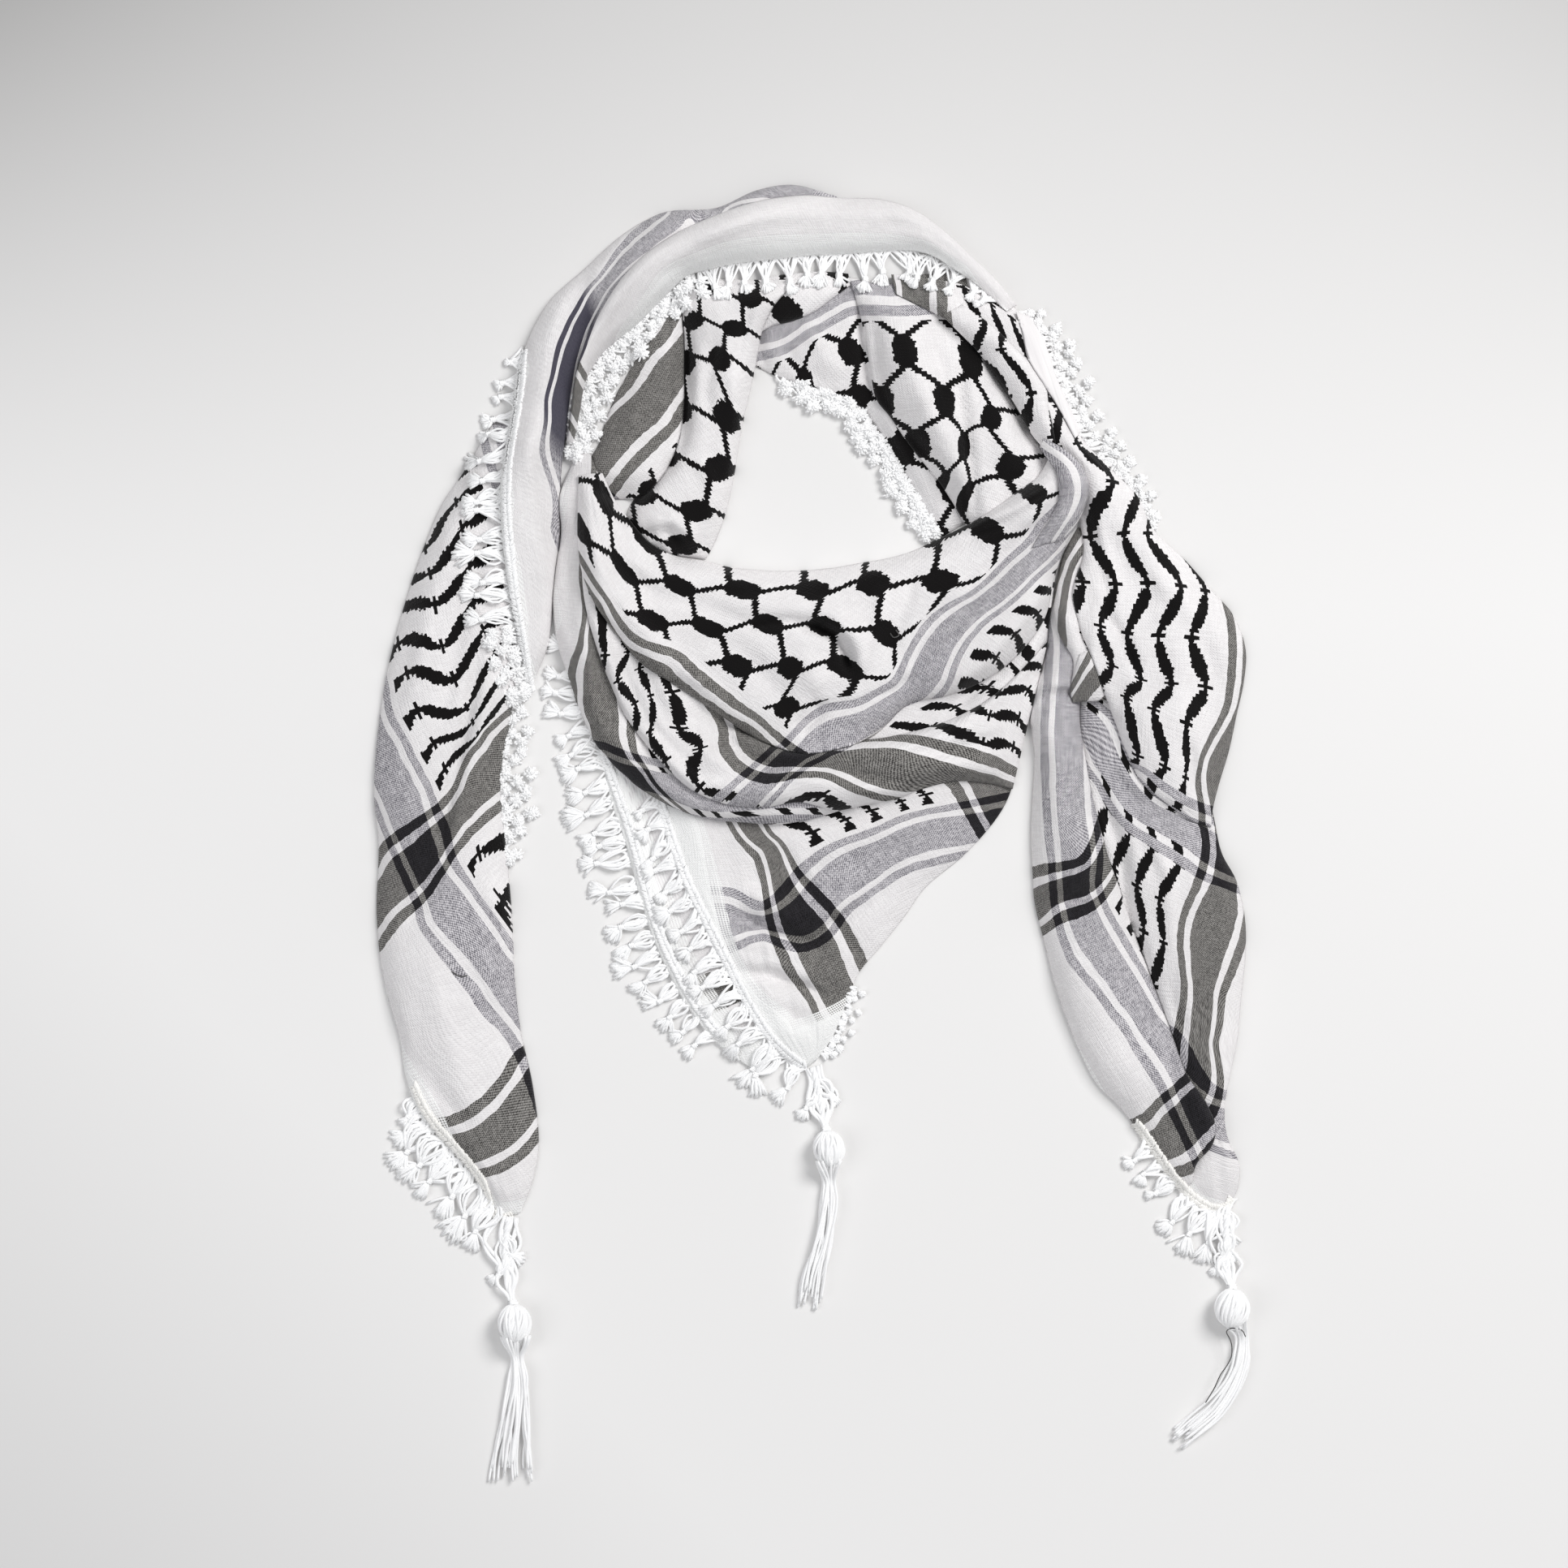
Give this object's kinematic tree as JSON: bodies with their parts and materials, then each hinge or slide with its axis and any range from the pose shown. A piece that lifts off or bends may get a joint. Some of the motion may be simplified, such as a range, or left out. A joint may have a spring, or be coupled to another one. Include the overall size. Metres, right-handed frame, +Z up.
{
  "type": "headscarf",
  "caption": "Square checked cotton headscarf folded on the diagonal and laid flat as a cowl, with a pointed bib, two long tails, knotted fringe and corner tassels.",
  "frame": {"origin": "centre of the scarf's overall width and length, on the surface it lies on", "axes": "+Z up from the surface, +Y along the scarf towards the back of the neck, +X across it towards the tail on the right as seen from above"},
  "size_m": [0.5002, 0.7418, 0.0391],
  "materials": {
    "woven_cotton": "matt woven cotton, white with black woven net, waves and stripes",
    "cotton_thread": "matt white cotton thread, knotted fringe and tassels"
  },
  "bodies": {
    "root": {"neck_back": "woven_cotton", "bib_under": "woven_cotton", "bib": "woven_cotton", "left_tail": "woven_cotton", "left_roll": "woven_cotton", "tail_panel": "woven_cotton", "tail_blue": "woven_cotton", "tail_flap": "woven_cotton", "neck_left": "woven_cotton", "neck_panel": "woven_cotton", "neck_right": "woven_cotton", "shoulder_tail": "woven_cotton", "cowl_lip": "woven_cotton", "cowl_under": "woven_cotton", "cowl_mid": "woven_cotton", "back_roll": "woven_cotton", "cowl_front": "woven_cotton", "fringe_neck": "cotton_thread", "fringe_under": "cotton_thread", "fringe_bib": "cotton_thread", "fringe_corner": "cotton_thread", "fringe_low_left": "cotton_thread", "fringe_tail_left": "cotton_thread", "fringe_roll": "cotton_thread", "fringe_tail_right": "cotton_thread", "fringe_shoulder": "cotton_thread", "fringe_back": "cotton_thread", "tassel_left": "cotton_thread", "tassel_bib": "cotton_thread", "tassel_right": "cotton_thread"}
  },
  "joints": []
}
